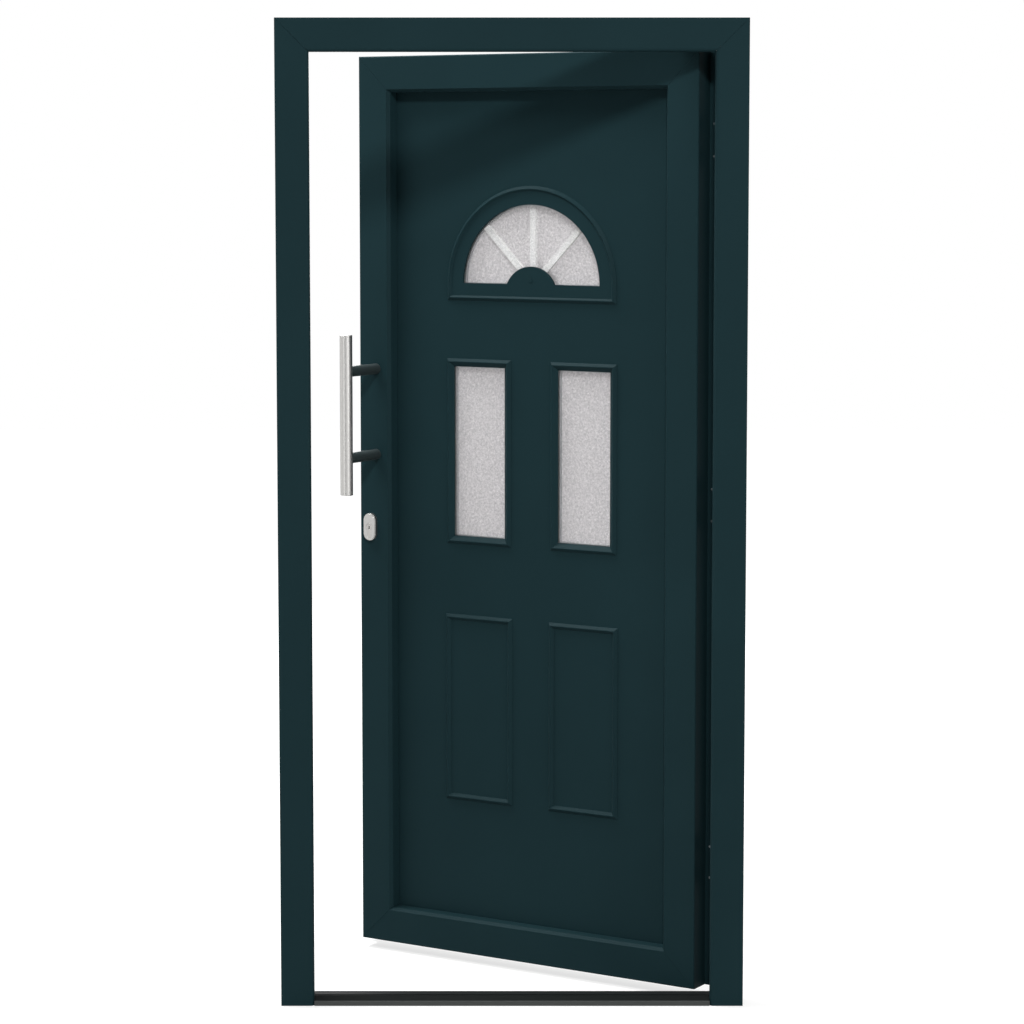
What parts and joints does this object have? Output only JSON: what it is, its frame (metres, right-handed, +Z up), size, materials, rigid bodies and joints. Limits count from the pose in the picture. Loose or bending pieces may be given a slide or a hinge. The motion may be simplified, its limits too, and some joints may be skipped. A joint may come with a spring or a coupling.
{
  "type": "pvc front door",
  "caption": "Dark panel front door in its frame, hung on the right and opening inwards, with an arched fanlight, upright lights, a pull bar, an inside lever and a hook lock.",
  "frame": {"origin": "middle of the frame's base on the floor, mid width and mid depth of the frame", "axes": "+X to the right as seen from outside, +Y into the house, +Z up"},
  "size_m": [0.98, 0.5869, 2.08],
  "materials": {
    "pvc_foil": "satin, dark blue-green grey",
    "hinge_coat": "satin coat in the door's colour",
    "zinc_steel": "zinc plated",
    "satin_steel": "satin brushed",
    "lock_nickel": "satin nickel",
    "dark_post": "dark satin",
    "sill_metal": "dark anodised",
    "sill_plastic": "matt black",
    "seal": "matt black",
    "foam": "foam",
    "satin_glass": "satin etched",
    "patterned_glass": "stippled",
    "spacer": "mill",
    "bar_white": "off-white coat"
  },
  "bodies": {
    "frame": {"frame_lock_jamb": "pvc_foil", "frame_hinge_jamb": "pvc_foil", "frame_head": "pvc_foil", "frame_steels": "zinc_steel", "frame_gasket": "seal", "threshold_outer": "sill_metal", "threshold_break": "sill_plastic", "threshold_inner": "sill_metal", "threshold_end_blocks": "sill_plastic", "strike_main": "satin_steel", "strike_hooks": "satin_steel", "hinge_frame_plates": "hinge_coat", "hinge_pins": "zinc_steel", "frame_screws": "zinc_steel"},
    "leaf": {"leaf_lock_stile": "pvc_foil", "leaf_hinge_stile": "pvc_foil", "leaf_top_rail": "pvc_foil", "leaf_bottom_rail": "pvc_foil", "leaf_steels": "zinc_steel", "panel_outer_skin": "pvc_foil", "panel_core": "foam", "panel_inner_skin": "pvc_foil", "panel_gasket": "seal", "panel_packers": "sill_plastic", "glazing_beads": "pvc_foil", "fanlight_frame_outer": "pvc_foil", "fanlight_frame_inner": "pvc_foil", "light_frames_outer": "pvc_foil", "light_frames_inner": "pvc_foil", "blind_ridges_outer": "pvc_foil", "blind_ridges_inner": "pvc_foil", "fanlight_pane_outer": "patterned_glass", "fanlight_pane_inner": "satin_glass", "fanlight_spacer": "spacer", "fanlight_bars": "bar_white", "light_panes_outer": "patterned_glass", "light_panes_inner": "satin_glass", "light_spacers": "spacer", "leaf_gasket": "seal", "bottom_seal": "seal", "pull_bar": "satin_steel", "pull_bar_caps": "satin_steel", "pull_posts": "dark_post", "post_studs": "zinc_steel", "escutcheon": "satin_steel", "cylinder_body": "lock_nickel", "lock_faceplate": "satin_steel", "lock_case": "zinc_steel", "hook_cases": "zinc_steel", "lever_plate": "satin_steel", "hinge_leaf_plates": "hinge_coat", "leaf_screws": "zinc_steel"},
    "lever": {"lever_handle": "satin_steel", "lever_spindle": "zinc_steel"},
    "latch": {"latch_bolt": "satin_steel"},
    "cylinder": {"cylinder_plug": "lock_nickel"},
    "deadbolt": {"dead_bolt": "satin_steel"},
    "upper_hook": {"hook_upper": "satin_steel"},
    "lower_hook": {"hook_lower": "satin_steel"}
  },
  "joints": [
    {"name": "leaf_swing", "type": "hinge", "parent": "frame", "child": "leaf", "pos_m": [0.46, 0.07, 0.29], "axis": [0, 0, -1], "range_deg": [-31.25, 63.75]},
    {"name": "lever_turn", "type": "hinge", "parent": "leaf", "child": "lever", "pos_m": [-0.29997, 0.47151, 1.06], "axis": [0.5188, 0.8549, 0], "range_deg": [0, 45], "stiffness_Nm_per_rad": 0.6, "springref_deg": -45.84},
    {"name": "latch_slide", "type": "slide", "parent": "leaf", "child": "latch", "axis": [0.8549, -0.5188, 0], "range_m": [0, 0.012]},
    {"name": "cylinder_turn", "type": "hinge", "parent": "leaf", "child": "cylinder", "pos_m": [-0.29997, 0.47151, 0.968], "axis": [0.5188, 0.8549, 0], "range_deg": [0, 360]},
    {"name": "bolt_slide", "type": "slide", "parent": "leaf", "child": "deadbolt", "axis": [-0.8549, 0.5188, 0], "range_m": [0, 0.02]},
    {"name": "upper_hook_turn", "type": "hinge", "parent": "leaf", "child": "upper_hook", "pos_m": [-0.31194, 0.47877, 1.64], "axis": [-0.5188, -0.8549, 0], "range_deg": [0, 90]},
    {"name": "lower_hook_turn", "type": "hinge", "parent": "leaf", "child": "lower_hook", "pos_m": [-0.31194, 0.47877, 0.34], "axis": [-0.5188, -0.8549, 0], "range_deg": [0, 90]}
  ],
  "couplings": [
    {"joint": "latch_slide", "follows": "lever_turn", "m_per_rad": 0.015279},
    {"joint": "cylinder_turn", "follows": "bolt_slide", "rad_per_m": 314.16},
    {"joint": "upper_hook_turn", "follows": "bolt_slide", "rad_per_m": 78.54},
    {"joint": "lower_hook_turn", "follows": "bolt_slide", "rad_per_m": 78.54}
  ]
}
